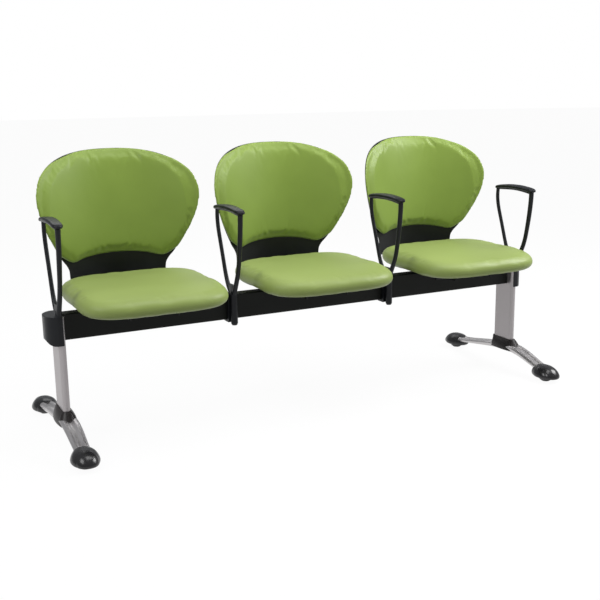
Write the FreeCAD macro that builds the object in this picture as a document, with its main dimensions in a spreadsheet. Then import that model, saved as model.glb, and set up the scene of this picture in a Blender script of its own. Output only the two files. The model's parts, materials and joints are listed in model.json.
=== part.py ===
import FreeCAD, Part
import math
import os
import Sketcher

# Three-seat beam seating: three padded chairs and four loop arms on one box beam, with a leg at each end.
# Millimetres, +Z up, the beam along X, the sitters face -Y. The origin is on the floor under the middle.

V = FreeCAD.Vector
X_AXIS = V(1, 0, 0)
Y_AXIS = V(0, 1, 0)
Z_AXIS = V(0, 0, 1)
SEATS = (1, 2, 3)
ARMS = (1, 2, 3, 4)
INNER_ARMS = (2, 3)
SIDES = {"left": -1, "right": 1}
ENDS = {"front": -1, "rear": 1}

SIZES = [
    ("seat_pitch", 570, "between the middles of two seats"),
    ("leg_x", 824, "middle of the bench to the middle of a leg"),
    ("end_arm_out", 5, "end arm's post outward of the column's middle"),
    ("fit_gap", 0.3, "between pieces that are slid or pressed together"),
    ("beam_width", 40, "box beam, front to rear"),
    ("beam_height", 80, "box beam, upright"),
    ("beam_wall", 3, "wall of the box beam"),
    ("beam_corner", 5, "outer corner radius of the box beam"),
    ("beam_top", 394, "floor to the top of the beam"),
    ("beam_axis_y", -28, "middle of the beam and of the columns, front to rear"),
    ("end_plate", 8, "plate welded inside each end of the beam"),
    ("column_width", 22, "flat-oval column along the beam"),
    ("column_depth", 98, "flat-oval column, front to rear"),
    ("column_wall", 2.5, "wall of the column"),
    ("column_sink", 2, "column's foot below the crest of the base bar"),
    ("column_drop", 6, "column's head below the top of the beam"),
    ("column_block", 44, "height of the solid block in the column's foot"),
    ("leg_bolt", 10, "bolts from the column into the beam's end plate"),
    ("leg_bolt_pitch", 44, "between the two bolts of one leg, upright"),
    ("base_bolt", 12, "bolt from the base bar up into the column block"),
    ("base_bolt_seat", 10, "base bar left over the head of the base bolt"),
    ("base_bolt_grip", 34, "base bolt inside the column block"),
    ("glide_spread", 528, "between the front and the rear glide of a leg"),
    ("bar_overrun", 20, "base bar beyond the middle of the glide"),
    ("bar_crest_y", -80, "highest place of the base bar, front to rear"),
    ("bar_crest_top", 88, "floor to the top of the base bar at its crest"),
    ("bar_end_top", 45, "floor to the top of the base bar at its ends"),
    ("bar_crest_deep", 20, "upright thickness of the base bar at its crest"),
    ("bar_end_deep", 14, "upright thickness of the base bar at its ends"),
    ("bar_crest_wide", 54, "width of the base bar at its crest"),
    ("bar_end_wide", 46, "width of the base bar at its ends"),
    ("bar_groove", 5, "depth of the groove along the top of the base bar"),
    ("glide_boss", 24, "boss under each end of the base bar"),
    ("glide_boss_foot", 18, "floor to the underside of the boss"),
    ("cap_length", 112, "foot cap along the base bar"),
    ("cap_width", 82, "foot cap across the base bar"),
    ("cap_rise", 9, "foot cap above the end of the base bar"),
    ("cap_drop", 29, "lower edge of the foot cap below the top of the bar's end"),
    ("cap_cup", 62, "cup under the foot cap round its glide, across its top"),
    ("cap_cup_lip", 42, "that cup across its lower edge"),
    ("cap_cup_foot", 5, "floor to the lower edge of that cup"),
    ("glide_disc", 34, "levelling glide on the floor"),
    ("glide_thick", 10, "thickness of the glide's disc"),
    ("glide_stem", 10, "threaded stem of the glide"),
    ("stem_grip", 19, "stem of the glide inside its boss"),
    ("stem_gap", 0.05, "between the stem and its thread, all round"),
    ("glide_lift", 3, "how far a glide can be screwed in from rest"),
    ("collar_rise", 20, "top of the collar above the column's foot"),
    ("collar_edge", 6, "collar beyond the column at its top"),
    ("collar_front", 85, "collar forward of the column's middle at its foot"),
    ("collar_rear", 61, "collar behind the column's middle at its foot"),
    ("cover_outer", 41, "end cover outward of the column's middle"),
    ("cover_wall", 2.7, "front and rear wall of the end cover"),
    ("cover_side", 3, "outer wall of the end cover"),
    ("cover_roof", 4, "roof of the end cover over the column"),
    ("cover_skirt", 8, "end cover below the underside of the beam"),
    ("cover_round", 22, "lower outer corner of the end cover"),
    ("cover_inner", 5, "end cover inward of the column's middle"),
    ("cover_flat", 10, "flat front of the end cover outward of the column's middle"),
    ("cover_flank", 20, "straight part of its outer side, front to rear"),
    ("arm_width", 22, "post of an arm along the beam"),
    ("post_depth", 22, "post of an arm, front to rear"),
    ("post_skirt", 13, "arm's post below the underside of the beam"),
    ("arm_rise", 268, "middle of the arm's top bar above the beam"),
    ("arm_front", 67, "front upright forward of the post's middle at its widest"),
    ("arm_rear", 116, "top of the rear rod behind the post's middle"),
    ("crotch_rise", 30, "place above the beam where the uprights of an arm part"),
    ("rod", 12.5, "thickness of the rear rod of an arm"),
    ("arm_pad_length", 206, "arm pad, front to rear"),
    ("arm_pad_width", 34, "arm pad across"),
    ("arm_pad_thick", 15, "arm pad, upright"),
    ("arm_bolt", 8, "bolts that hold the arms"),
    ("arm_bolt_pitch", 46, "between the two bolts of one arm, upright"),
    ("arm_stud", 8, "stud from the column's head up into an end arm's post"),
    ("arm_stud_inset", 2.5, "stud inward of the post's middle"),
    ("arm_stud_rear", 7, "stud behind the post's middle"),
    ("arm_stud_up", 14, "stud inside the post"),
    ("arm_stud_down", 30, "stud inside the column's head"),
    ("clamp_width", 30, "clamp block of an inner arm along the beam"),
    ("clamp_depth", 15, "clamp block between the beam and the post"),
    ("clamp_lip", 6, "lips of the clamp over and under the beam"),
    ("bracket_width", 150, "seat bracket along the beam"),
    ("bracket_front", -165, "front edge of the seat bracket"),
    ("bracket_rear", 110, "rear edge of the seat bracket"),
    ("bracket_sheet", 4, "sheet of the seat bracket"),
    ("bracket_lip", 34, "lips of the bracket down the sides of the beam"),
    ("bracket_flange", 18, "stiffening flanges at the sides of the bracket"),
    ("bracket_bolt", 8, "bolts through the beam"),
    ("bracket_bolt_pitch", 100, "between the two bolts of one bracket"),
    ("bracket_nut", 13, "nut on a bracket bolt across its flats"),
    ("bracket_nut_thick", 6.5, "thickness of that nut"),
    ("seat_width", 466, "seat cushion across"),
    ("seat_front", -284, "front edge of the seat cushion"),
    ("seat_rear", 158, "rear edge of the seat cushion"),
    ("seat_rise", 72, "top of the seat cushion above the beam"),
    ("seat_crown", 9, "rise of the seat's middle over its edges"),
    ("seat_fall", 22, "drop of the seat's front edge"),
    ("seat_foot_front", 6, "underside of the cushion above the beam at its front"),
    ("seat_foot_rear", 18, "underside of the cushion above the beam at its rear"),
    ("seat_square", 3.8, "power of the cushion's outline, higher is squarer"),
    ("pan_front", 6, "top of the seat pan above the beam at the cushion's front"),
    ("pan_rear", 36, "top of the seat pan above the beam at the cushion's rear"),
    ("seat_waist", 5, "how far the cushion's sides are drawn in"),
    ("pan_wall", 4, "wall of the seat pan"),
    ("pan_inset", 46, "seat pan inside the cushion's outline"),
    ("pan_flat", 190, "flat bottom of the seat pan across"),
    ("back_widest", 258, "half the width of the back pad where it is widest"),
    ("widest_rise", 306, "widest place of the back above the beam"),
    ("back_foot_half", 178, "half the width of the back pad at its foot"),
    ("foot_rise", 104, "lower corners of the back pad above the beam"),
    ("top_rise", 456, "top of the back above the beam"),
    ("back_y", 216, "front of the back pad on the middle line at lumbar_z"),
    ("lumbar_rise", 308, "height above the beam at which back_y is measured"),
    ("back_lean", 0.128, "lean of the back, rise to run"),
    ("back_bow", 0.00036, "upright bow of the back"),
    ("back_wrap", 0.00157, "how strongly the back wraps round the sitter"),
    ("pad_thick", 30, "thickness of the back pad in its middle"),
    ("pad_rim", 15, "thickness of the back pad toward its rim"),
    ("pad_gap", 0.8, "between a back pad and its shell"),
    ("arch_half", 146, "half the span of the arch in the pad's lower edge"),
    ("arch_rise", 17, "rise of the arch in the pad's lower edge"),
    ("shell_thick", 6, "thickness of the moulded back shell"),
    ("shell_rim", 1.5, "back shell beyond the pad"),
    ("neck_half", 156, "half the width of the shell's neck"),
    ("neck_rise", 26, "lower edge of the shell's neck above the beam"),
    ("support_width", 60, "flat bar that carries the back"),
    ("support_thick", 6, "thickness of that bar"),
    ("support_start", 8, "front end of that bar under the bracket"),
    ("support_face", 250, "front face of the upright part of that bar"),
    ("support_bend", 35, "inner radius of the bend of that bar"),
    ("support_rise", 256, "top of that bar above the beam"),
    ("back_bolt", 8, "bolts from the bar into the back shell"),
    ("back_bolt_rise", 156, "lower back bolt above the beam"),
    ("back_bolt_pitch", 76, "between the two back bolts"),
    ("shell_boss", 26, "bosses on the rear of the back shell"),
    ("pan_screw", 6, "screws from the bracket into the seat pan"),
    ("pan_screw_x", 58, "seat's middle to its pan screws"),
    ("pan_boss", 14, "bosses in the pan for its screws"),
    ("pan_boss_rise", 6, "height of those bosses over the floor of the pan"),
    ("pan_screw_grip", 7, "pan screw inside the pan"),
]

doc = FreeCAD.newDocument("BeamSeating")
sheet = doc.addObject("Spreadsheet::Sheet", "Sizes")
for row, (alias, value, meaning) in enumerate(SIZES, start=1):
    sheet.set("A%d" % row, alias)
    sheet.set("B%d" % row, str(value))
    sheet.set("C%d" % row, meaning)
    sheet.setAlias("B%d" % row, alias)
doc.recompute()

pieces = []


# Helpers for pieces, bodies and sketches

def value(expression):
    """The number that an expression of the sheet gives."""
    found = sheet.evalExpression(expression)
    return float(getattr(found, "Value", found))


def place(piece, x="0", y="0", z="0"):
    """Bind the place of a piece to the sheet."""
    for axis, expression in zip("xyz", (x, y, z)):
        piece.setExpression("Placement.Base." + axis, expression)
    pieces.append(piece)
    return piece


def feature(label, shape, x="0", y="0", z="0"):
    """A scripted solid as a piece of its own."""
    piece = doc.addObject("Part::Feature", label)
    piece.Label = label
    piece.Shape = shape
    return place(piece, x, y, z)


def new_body(label):
    body = doc.addObject("PartDesign::Body", label)
    body.Label = label
    return body


def new_sketch(body, role, lift=None):
    """Sketch on one of the body's own planes, moved along its normal by the expression lift."""
    sketch = body.newObject("Sketcher::SketchObject", body.Name + "_sketch")
    plane = next(item for item in body.Origin.OriginFeatures if item.Role == role)
    sketch.AttachmentSupport = [(plane, "")]
    sketch.MapMode = "FlatFace"
    if lift:
        sketch.setExpression("AttachmentOffset.Base.z", lift)
    return sketch


def dimension(sketch, kind, references, expression):
    index = sketch.addConstraint(Sketcher.Constraint(kind, *references, value(expression)))
    sketch.setExpression("Constraints[%d]" % index, expression)


def rectangle(sketch, left, right, low, high):
    """Rectangle between four expressions."""
    first = sketch.GeometryCount
    west, east, south, north = [value(edge) for edge in (left, right, low, high)]
    corners = [V(west, south, 0), V(east, south, 0), V(east, north, 0), V(west, north, 0)]
    for i in range(4):
        sketch.addGeometry(Part.LineSegment(corners[i], corners[(i + 1) % 4]), False)
    for i in range(4):
        sketch.addConstraint(Sketcher.Constraint("Coincident", first + i, 2, first + (i + 1) % 4, 1))
    for i, direction in enumerate(("Horizontal", "Vertical", "Horizontal", "Vertical")):
        sketch.addConstraint(Sketcher.Constraint(direction, first + i))
    dimension(sketch, "DistanceX", (-1, 1, first, 1), left)
    dimension(sketch, "DistanceX", (-1, 1, first, 2), right)
    dimension(sketch, "DistanceY", (-1, 1, first, 1), low)
    dimension(sketch, "DistanceY", (-1, 1, first + 2, 1), high)


def circle(sketch, x, y, diameter):
    """Circle whose middle and diameter are expressions."""
    index = sketch.addGeometry(Part.Circle(V(value(x), value(y), 0), Z_AXIS, value(diameter) / 2), False)
    dimension(sketch, "DistanceX", (-1, 1, index, 3), x)
    dimension(sketch, "DistanceY", (-1, 1, index, 3), y)
    dimension(sketch, "Diameter", (index,), diameter)


def flat_oval(sketch, across, along):
    """Flat oval about the sketch's origin: across is its width in x, along its length in y."""
    first = sketch.GeometryCount
    radius = value(across) / 2
    reach = value(along) / 2 - radius
    sketch.addGeometry(Part.LineSegment(V(radius, -reach, 0), V(radius, reach, 0)), False)
    sketch.addGeometry(Part.ArcOfCircle(Part.Circle(V(0, reach, 0), Z_AXIS, radius), 0, math.pi), False)
    sketch.addGeometry(Part.LineSegment(V(-radius, reach, 0), V(-radius, -reach, 0)), False)
    lower = Part.Circle(V(0, -reach, 0), Z_AXIS, radius)
    sketch.addGeometry(Part.ArcOfCircle(lower, math.pi, 2 * math.pi), False)
    for i in range(4):
        sketch.addConstraint(Sketcher.Constraint("Tangent", first + i, 2, first + (i + 1) % 4, 1))
    sketch.addConstraint(Sketcher.Constraint("Vertical", first))
    sketch.addConstraint(Sketcher.Constraint("Symmetric", first + 1, 3, first + 3, 3, -1, 1))
    dimension(sketch, "Radius", (first + 1,), across + " / 2")
    dimension(sketch, "DistanceY", (first + 3, 3, first + 1, 3), along + " - " + across)


def pad(body, sketch, length, both_ways=False):
    result = body.newObject("PartDesign::Pad", body.Name + "_pad")
    result.Profile = sketch
    result.Midplane = both_ways
    result.setExpression("Length", length)
    return result


def cut_through(body, sketch):
    """Pocket through the whole body, both ways from the sketch."""
    result = body.newObject("PartDesign::Pocket", body.Name + "_pocket")
    result.Profile = sketch
    result.Type = "ThroughAll"
    result.Midplane = True
    return result


# Helpers for moulded forms: closed sections of lines and arcs, and lofts through them

def arc_wire(corners, middles):
    """Closed wire from corner to corner, as an arc through a middle point, or straight where it is None."""
    edges = []
    for i, (corner, middle) in enumerate(zip(corners, middles)):
        following = corners[(i + 1) % len(corners)]
        if middle is None:
            edges.append(Part.LineSegment(corner, following).toShape())
        else:
            edges.append(Part.Arc(corner, middle, following).toShape())
    return Part.Wire(edges)


def oval(centre, across, up, half_across, half_up):
    """Section of four arcs: round where its halves are equal, and nearly a slot where one is longer."""
    short = min(half_across, half_up)
    stretch = max(half_across, half_up) / short - 1
    end = short * min(0.85, 0.29 + 0.8 * stretch)
    flank = short * max(0.12, 0.29 - 0.2 * stretch)
    if half_across < half_up:
        end, flank = flank, end
    to_side = across * half_across
    to_top = up * half_up
    corner_side = across * (half_across - end)
    corner_top = up * (half_up - flank)
    corners = [centre + corner_side - corner_top, centre + corner_side + corner_top,
               centre - corner_side + corner_top, centre - corner_side - corner_top]
    middles = [centre + to_side, centre + to_top, centre - to_side, centre - to_top]
    return arc_wire(corners, middles)


def loft(sections, ruled=False):
    return Part.makeLoft(sections, True, ruled)


def member(stations):
    """Limb in the YZ plane through stations of y, z, half width along X and half thickness."""
    sections = []
    for i, (y, z, half_width, half_thick) in enumerate(stations):
        before = stations[max(i - 1, 0)]
        after = stations[min(i + 1, len(stations) - 1)]
        run = V(0, after[0] - before[0], after[1] - before[1]).normalize()
        sections.append(oval(V(0, y, z), X_AXIS, run.cross(X_AXIS), half_width, half_thick))
    return loft(sections)


def cylinder(radius, height, base, direction=Z_AXIS):
    return Part.makeCylinder(radius, height, base, direction)


def box(west, east, front, rear, low, high):
    return Part.makeBox(east - west, rear - front, high - low, V(west, front, low))


def slot_prism(width, depth, low, high):
    """Upright flat-oval prism about the origin, long along Y."""
    radius = width / 2
    reach = depth / 2 - radius
    corners = [V(radius, -reach, low), V(radius, reach, low), V(-radius, reach, low), V(-radius, -reach, low)]
    middles = [None, V(0, depth / 2, low), None, V(0, -depth / 2, low)]
    return Part.Face(arc_wire(corners, middles)).extrude(V(0, 0, high - low))


def bolt(diameter, length, seat, direction):
    """Cap-head bolt with a socket; its head stands on seat, against the direction of the shank."""
    head = diameter * 0.85
    head_radius = diameter * 0.8
    shape = cylinder(diameter / 2, length, seat, direction)
    shape = shape.fuse(cylinder(head_radius, head, seat - direction * head, direction))
    socket = cylinder(diameter * 0.42, diameter * 0.5, seat - direction * head, direction)
    return shape.cut(socket).removeSplitter()


# Shared places, each an expression of the sheet

SEAT_X = {seat: "(%d) * Sizes.seat_pitch" % (seat - 2) for seat in SEATS}
ARM_X = {1: "-(Sizes.leg_x + Sizes.end_arm_out)", 2: "-Sizes.seat_pitch / 2",
         3: "Sizes.seat_pitch / 2", 4: "Sizes.leg_x + Sizes.end_arm_out"}
LEG_X = {side: "(%d) * Sizes.leg_x" % sign for side, sign in SIDES.items()}
BEAM_FRONT = "Sizes.beam_axis_y - Sizes.beam_width / 2"
BEAM_REAR = "Sizes.beam_axis_y + Sizes.beam_width / 2"
COLUMN_FOOT = "(Sizes.bar_crest_top - Sizes.column_sink)"
BEAM_MIDDLE_Z = "Sizes.beam_top - Sizes.beam_height / 2"
BEAM_END = "Sizes.leg_x - Sizes.column_width / 2 - Sizes.fit_gap"
POST_REAR = BEAM_FRONT + " - Sizes.fit_gap - Sizes.clamp_depth"
POST_Y = POST_REAR + " - Sizes.post_depth / 2"

gap = sheet.fit_gap
beam_top = sheet.beam_top
beam_foot = beam_top - sheet.beam_height
column_foot = sheet.bar_crest_top - sheet.column_sink
column_top = beam_top - sheet.column_drop
cover_foot = beam_foot - sheet.cover_skirt
post_foot = beam_foot - sheet.post_skirt
arm_top = beam_top + sheet.arm_rise
arm_crotch = beam_top + sheet.crotch_rise
seat_top = beam_top + sheet.seat_rise
back_widest_z = beam_top + sheet.widest_rise
back_foot = beam_top + sheet.foot_rise
back_top = beam_top + sheet.top_rise
lumbar_z = beam_top + sheet.lumbar_rise
neck_foot = beam_top + sheet.neck_rise
support_top = beam_top + sheet.support_rise
cap_top = sheet.bar_end_top + sheet.cap_rise
cap_foot = sheet.bar_end_top - sheet.cap_drop
stem_top = sheet.glide_boss_foot + sheet.stem_grip
axis_y = sheet.beam_axis_y
beam_front = value(BEAM_FRONT)
beam_rear = value(BEAM_REAR)
beam_middle_z = value(BEAM_MIDDLE_Z)
post_rear = value(POST_REAR)
post_y = value(POST_Y)
arm_bolts_z = [beam_middle_z - sheet.arm_bolt_pitch / 2, beam_middle_z + sheet.arm_bolt_pitch / 2]
cover_top = column_top + sheet.cover_roof
stud_x = sheet.leg_x + sheet.end_arm_out - sheet.arm_stud_inset
stud_y = post_y + sheet.arm_stud_rear
leg_bolts_z = [beam_middle_z - sheet.leg_bolt_pitch / 2, beam_middle_z + sheet.leg_bolt_pitch / 2]


# Box beam, with a plate welded inside each end and clear holes for the arm and bracket bolts

def build_beam():
    body = new_body("beam")
    outline = new_sketch(body, "YZ_Plane")
    half_wide = "Sizes.beam_width / 2"
    half_high = "Sizes.beam_height / 2"
    rectangle(outline, "-" + half_wide, half_wide, "-" + half_high, half_high)
    blank = pad(body, outline, "2 * (%s)" % BEAM_END, both_ways=True)
    doc.recompute()
    long_edges = ["Edge%d" % (i + 1) for i, edge in enumerate(blank.Shape.Edges)
                  if abs(edge.tangentAt(edge.FirstParameter).x) > 0.99]
    rounded = body.newObject("PartDesign::Fillet", "beam_fillet")
    rounded.Base = (blank, long_edges)
    rounded.setExpression("Radius", "Sizes.beam_corner")
    doc.recompute()
    bore = new_sketch(body, "YZ_Plane")
    inner_wide = half_wide + " - Sizes.beam_wall"
    inner_high = half_high + " - Sizes.beam_wall"
    rectangle(bore, "-(%s)" % inner_wide, inner_wide, "-(%s)" % inner_high, inner_high)
    hollow = body.newObject("PartDesign::Pocket", "beam_hollow")
    hollow.Profile = bore
    hollow.Midplane = True
    hollow.setExpression("Length", "2 * (%s - Sizes.end_plate)" % BEAM_END)
    doc.recompute()
    holes = new_sketch(body, "XZ_Plane")
    for arm in INNER_ARMS:
        for way in (-1, 1):
            circle(holes, ARM_X[arm], "%d * Sizes.arm_bolt_pitch / 2" % way, "Sizes.arm_bolt + 2 * Sizes.fit_gap")
    for seat in SEATS:
        for way in (-1, 1):
            x = "%s + %d * Sizes.bracket_bolt_pitch / 2" % (SEAT_X[seat], way)
            circle(holes, x, "Sizes.beam_height / 2 - Sizes.bracket_lip / 2",
                   "Sizes.bracket_bolt + 2 * Sizes.fit_gap")
    cut_through(body, holes)
    doc.recompute()
    threads = new_sketch(body, "YZ_Plane")
    for way in (-1, 1):
        circle(threads, "0", "%d * Sizes.leg_bolt_pitch / 2" % way, "Sizes.leg_bolt + 2 * Sizes.fit_gap")
    cut_through(body, threads)
    return place(body, y="Sizes.beam_axis_y", z=BEAM_MIDDLE_Z)


# Legs: base bar, column with its blocks, collar, foot caps and glides

def bar_stations():
    """Places y along the base bar with its top, thickness and width there.

    Each falls from the crest to the ends as a half cosine, the front half shorter than the rear.
    """
    half = sheet.glide_spread / 2 + sheet.bar_overrun
    crest = sheet.bar_crest_y
    stations = []
    for share in (-1, -0.85, -0.62, -0.36, 0, 0.2, 0.42, 0.64, 0.86, 1):
        y = crest + share * (half - crest if share > 0 else half + crest)
        level = 0.5 + 0.5 * math.cos(math.pi * share)
        top = sheet.bar_end_top + (sheet.bar_crest_top - sheet.bar_end_top) * level
        deep = sheet.bar_end_deep + (sheet.bar_crest_deep - sheet.bar_end_deep) * level
        wide = sheet.bar_end_wide + (sheet.bar_crest_wide - sheet.bar_end_wide) * level
        stations.append((y, top, deep, wide))
    return stations


def bar_section(y, top, deep, wide):
    """Cast section: two rounded ridges with a groove between them, sides that lean in to the foot."""
    groove = sheet.bar_groove
    foot = wide * 0.43
    side = wide * 0.5
    shoulder = top - groove * 1.6
    lip = wide * 0.1
    corners = [V(-foot, y, top - deep), V(foot, y, top - deep), V(side, y, shoulder),
               V(lip, y, top - groove * 0.7), V(-lip, y, top - groove * 0.7), V(-side, y, shoulder)]
    middles = [None, None, V(wide * 0.3, y, top), V(0, y, top - groove), V(-wide * 0.3, y, top), None]
    return arc_wire(corners, middles)


def column_base_solid():
    """Flat boss on the base bar that the column stands on."""
    low = column_foot - sheet.bar_crest_deep + 4
    boss = slot_prism(sheet.column_width + 4, sheet.column_depth + 4, low, column_foot)
    boss.translate(V(0, axis_y, 0))
    return boss


def glide_boss_solid(y):
    return cylinder(sheet.glide_boss / 2, sheet.bar_end_top - 8 - sheet.glide_boss_foot,
                    V(0, y, sheet.glide_boss_foot))


def build_base_bar_shape():
    shape = loft([bar_section(*station) for station in bar_stations()])
    shape = shape.fuse(column_base_solid())
    above = slot_prism(sheet.column_width + 4, sheet.column_depth + 4, column_foot,
                       column_foot + 20)
    above.translate(V(0, axis_y, 0))
    shape = shape.cut(above)
    for sign in ENDS.values():
        y = sign * sheet.glide_spread / 2
        shape = shape.fuse(glide_boss_solid(y))
    for sign in ENDS.values():
        y = sign * sheet.glide_spread / 2
        bore = cylinder(sheet.glide_stem / 2 + sheet.stem_gap,
                        stem_top + sheet.glide_lift + 1 - sheet.glide_boss_foot,
                        V(0, y, sheet.glide_boss_foot))
        shape = shape.cut(bore)
    clear = sheet.base_bolt / 2 + gap
    shape = shape.cut(cylinder(clear, column_foot, V(0, axis_y, 0)))
    recess = base_bolt_seat_z()
    shape = shape.cut(cylinder(sheet.base_bolt, recess, V(0, axis_y, 0)))
    return shape.removeSplitter()


def base_bolt_seat_z():
    """Height of the seat in the bar's underside for the head of the base bolt."""
    return column_foot - sheet.base_bolt_seat


def build_column(side):
    body = new_body("column_" + side)
    outline = new_sketch(body, "XY_Plane")
    flat_oval(outline, "Sizes.column_width", "Sizes.column_depth")
    pad(body, outline, "Sizes.beam_top - Sizes.column_drop - " + COLUMN_FOOT)
    doc.recompute()
    bore = new_sketch(body, "XY_Plane")
    flat_oval(bore, "(Sizes.column_width - 2 * Sizes.column_wall)",
              "(Sizes.column_depth - 2 * Sizes.column_wall)")
    cut_through(body, bore)
    doc.recompute()
    holes = new_sketch(body, "YZ_Plane")
    for way in (-1, 1):
        z = "%s + %d * Sizes.leg_bolt_pitch / 2 - %s" % (BEAM_MIDDLE_Z, way, COLUMN_FOOT)
        circle(holes, "0", z, "Sizes.leg_bolt + 2 * Sizes.fit_gap")
    cut_through(body, holes)
    return place(body, x=LEG_X[side], y="Sizes.beam_axis_y", z=COLUMN_FOOT)


def column_block_shape(low, high):
    """Solid filling that slides into the flat-oval column."""
    wide = sheet.column_width - 2 * sheet.column_wall - 2 * gap
    deep = sheet.column_depth - 2 * sheet.column_wall - 2 * gap
    return slot_prism(wide, deep, low, high)


def mirrored(shape, side):
    """A shape made for the right side, or its mirror image for the left."""
    return shape if side == "right" else shape.mirror(V(), X_AXIS)


def build_leg_inside(side):
    foot = column_block_shape(column_foot, column_foot + sheet.column_block)
    room = sheet.base_bolt_grip + 2
    foot = foot.cut(cylinder(sheet.base_bolt / 2 + gap, room, V(0, 0, column_foot)))
    feature("column_foot_block_" + side, foot, LEG_X[side], "Sizes.beam_axis_y")
    head = column_block_shape(beam_foot, column_top)
    for z in leg_bolts_z:
        start = V(-sheet.column_width / 2, 0, z)
        head = head.cut(cylinder(sheet.leg_bolt / 2 + gap, sheet.column_width, start, X_AXIS))
    stud = V(stud_x - sheet.leg_x, stud_y - axis_y, column_top - sheet.arm_stud_down - 1)
    head = head.cut(cylinder(sheet.arm_stud / 2 + gap, sheet.arm_stud_down + 1, stud))
    feature("column_head_block_" + side, mirrored(head, side), LEG_X[side], "Sizes.beam_axis_y")


def collar_shape(bar):
    """Moulded boot from the column's foot down over the base bar, longer to the front."""
    half_wide = sheet.column_width / 2 + sheet.collar_edge
    half_deep = sheet.column_depth / 2 + sheet.collar_edge
    front = sheet.collar_front
    rear = sheet.collar_rear
    middle = (rear - front) / 2
    top = (column_foot + sheet.collar_rise)
    foot = column_foot - 18
    sections = [oval(V(0, middle, foot), X_AXIS, Y_AXIS, sheet.bar_crest_wide / 2 + 3, (front + rear) / 2),
                oval(V(0, middle * 0.75, foot + (top - foot) * 0.45), X_AXIS, Y_AXIS,
                     sheet.bar_crest_wide / 2 + 1, (front + rear) / 2 * 0.86),
                oval(V(0, 0, top), X_AXIS, Y_AXIS, half_wide - 2, half_deep)]
    shape = loft(sections)
    shape.translate(V(0, axis_y, 0))
    column = slot_prism(sheet.column_width + 2 * gap, sheet.column_depth + 2 * gap, 0, top + 10)
    column.translate(V(0, axis_y, 0))
    return shape.cut(column).cut(bar)


def foot_cap_shape(bar, sign):
    """Domed cap over one end of the base bar, with a tapered cup under it round the glide."""
    half_long = sheet.cap_length / 2
    half_wide = sheet.cap_width / 2
    rise = cap_top - cap_foot
    y = sign * sheet.glide_spread / 2
    inward = -sign * half_long / 7
    sections = []
    for share, wide, long in ((0, 0.93, 0.95), (0.18, 1, 1), (0.48, 0.92, 0.93), (0.76, 0.74, 0.76),
                              (0.93, 0.48, 0.52), (1, 0.26, 0.3)):
        centre = V(0, y + inward * share, cap_foot + rise * share)
        sections.append(oval(centre, X_AXIS, Y_AXIS, half_wide * wide, half_long * long))
    shape = loft(sections)
    lip = sheet.cap_cup_foot
    skirt = rise * 0.18
    cup = Part.makeCone(sheet.cap_cup_lip / 2, sheet.cap_cup / 2, cap_foot + skirt - lip, V(0, y, lip))
    opening = sheet.glide_disc / 2 + 2
    room = cylinder(opening, sheet.glide_boss_foot - lip, V(0, y, lip))
    boss = cylinder(sheet.glide_boss / 2, sheet.bar_end_top - cap_foot, V(0, y, cap_foot))
    return shape.fuse(cup).cut(room).cut(boss).cut(bar)


def glide_shape():
    """Disc with a turned edge under the threaded stem."""
    radius = sheet.glide_disc / 2
    thick = sheet.glide_thick
    stem = sheet.glide_stem / 2
    profile = [V(0, 0, 0), V(radius - 3, 0, 0), V(radius, 0, 2.5), V(radius - 1, 0, thick - 3),
               V(radius * 0.6, 0, thick), V(stem, 0, thick), V(stem, 0, stem_top),
               V(0, 0, stem_top)]
    outline = Part.makePolygon(profile + [profile[0]])
    return Part.Face(outline).revolve(V(), Z_AXIS, 360)


def build_leg(side):
    bar = build_base_bar_shape()
    feature("base_bar_" + side, bar, LEG_X[side])
    build_column(side)
    build_leg_inside(side)
    feature("collar_" + side, collar_shape(bar), LEG_X[side])
    for end, sign in ENDS.items():
        feature("foot_cap_%s_%s" % (side, end), foot_cap_shape(bar, sign), LEG_X[side])
        y = "(%d) * Sizes.glide_spread / 2" % sign
        feature("glide_%s_%s" % (side, end), glide_shape(), LEG_X[side], y)
    cover = mirrored(end_cover_shape(), side)
    feature("end_cover_" + side, cover, LEG_X[side], "Sizes.beam_axis_y")


# End covers over the heads of the columns

def cover_solid(inset):
    """The end cover's outline as a solid, drawn in by inset: its plan bulges outward, its lower corner is round."""
    half_deep = sheet.column_depth / 2 + gap + sheet.cover_wall - inset
    outer = sheet.cover_outer - inset
    inner = -sheet.cover_inner
    flat = sheet.cover_flat - inset
    flank = sheet.cover_flank / 2
    low = cover_foot + inset
    high = cover_top - inset
    turn = sheet.cover_round
    bulge = V(flat + (outer - flat) * 0.66, (half_deep + flank) * 0.59, low)
    mirror_bulge = V(bulge.x, -bulge.y, low)
    corners = [V(inner, -half_deep, low), V(flat, -half_deep, low), V(outer, -flank, low),
               V(outer, flank, low), V(flat, half_deep, low), V(inner, half_deep, low)]
    plan = Part.Face(arc_wire(corners, [None, mirror_bulge, None, bulge, None, None]))
    plan = plan.extrude(V(0, 0, high - low))
    edge = 3
    corners = [V(inner, -half_deep, low), V(outer - turn, -half_deep, low), V(outer, -half_deep, low + turn),
               V(outer, -half_deep, high - edge), V(outer - edge, -half_deep, high), V(inner, -half_deep, high)]
    lower = V(outer - turn * 0.293, -half_deep, low + turn * 0.293)
    upper = V(outer - edge * 0.293, -half_deep, high - edge * 0.293)
    front = Part.Face(arc_wire(corners, [None, lower, None, upper, None, None]))
    return plan.common(front.extrude(V(0, 2 * half_deep, 0)))


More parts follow.
